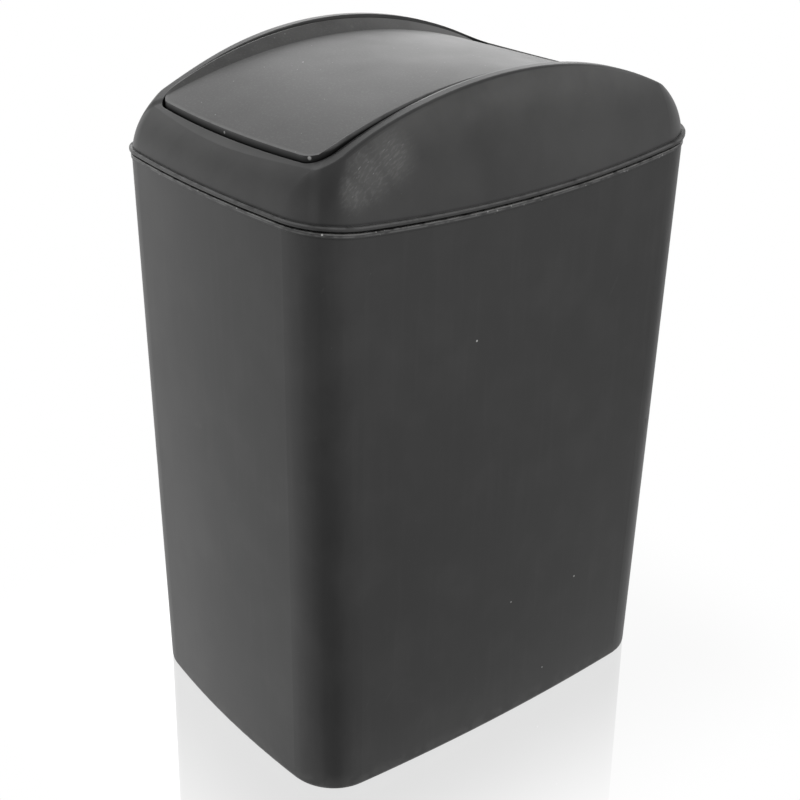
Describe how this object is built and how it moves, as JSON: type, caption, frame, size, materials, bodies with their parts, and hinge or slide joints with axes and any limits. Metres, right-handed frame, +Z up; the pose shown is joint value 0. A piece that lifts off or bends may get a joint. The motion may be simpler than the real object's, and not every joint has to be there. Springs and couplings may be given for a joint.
{
  "type": "swing-top kitchen bin",
  "caption": "Free-standing kitchen bin: a tapered tub, a domed hood that lifts off, and a dished flap that swings in the opening of the hood.",
  "frame": {"origin": "centre of the base, on the surface the bin stands on", "axes": "+X along the swing axis across the width, -Y towards the narrow front face, +Z up"},
  "size_m": [0.2408, 0.3302, 0.471],
  "materials": {
    "tub_plastic": "charcoal polypropylene, fine satin grain",
    "hood_plastic": "charcoal polypropylene, fine satin grain",
    "flap_plastic": "charcoal polypropylene, fine satin grain, lightly scuffed"
  },
  "bodies": {
    "tub": {"tub": "tub_plastic"},
    "hood": {"hood": "hood_plastic"},
    "flap": {"flap": "flap_plastic"}
  },
  "joints": [
    {"name": "lid_lift", "type": "slide", "parent": "tub", "child": "hood", "axis": [0, 0, 1], "range_m": [0, 0.04]},
    {"name": "flap_swing", "type": "hinge", "parent": "hood", "child": "flap", "pos_m": [0, 0, 0.4615], "axis": [1, 0, 0], "range_deg": [-80, 80]}
  ]
}
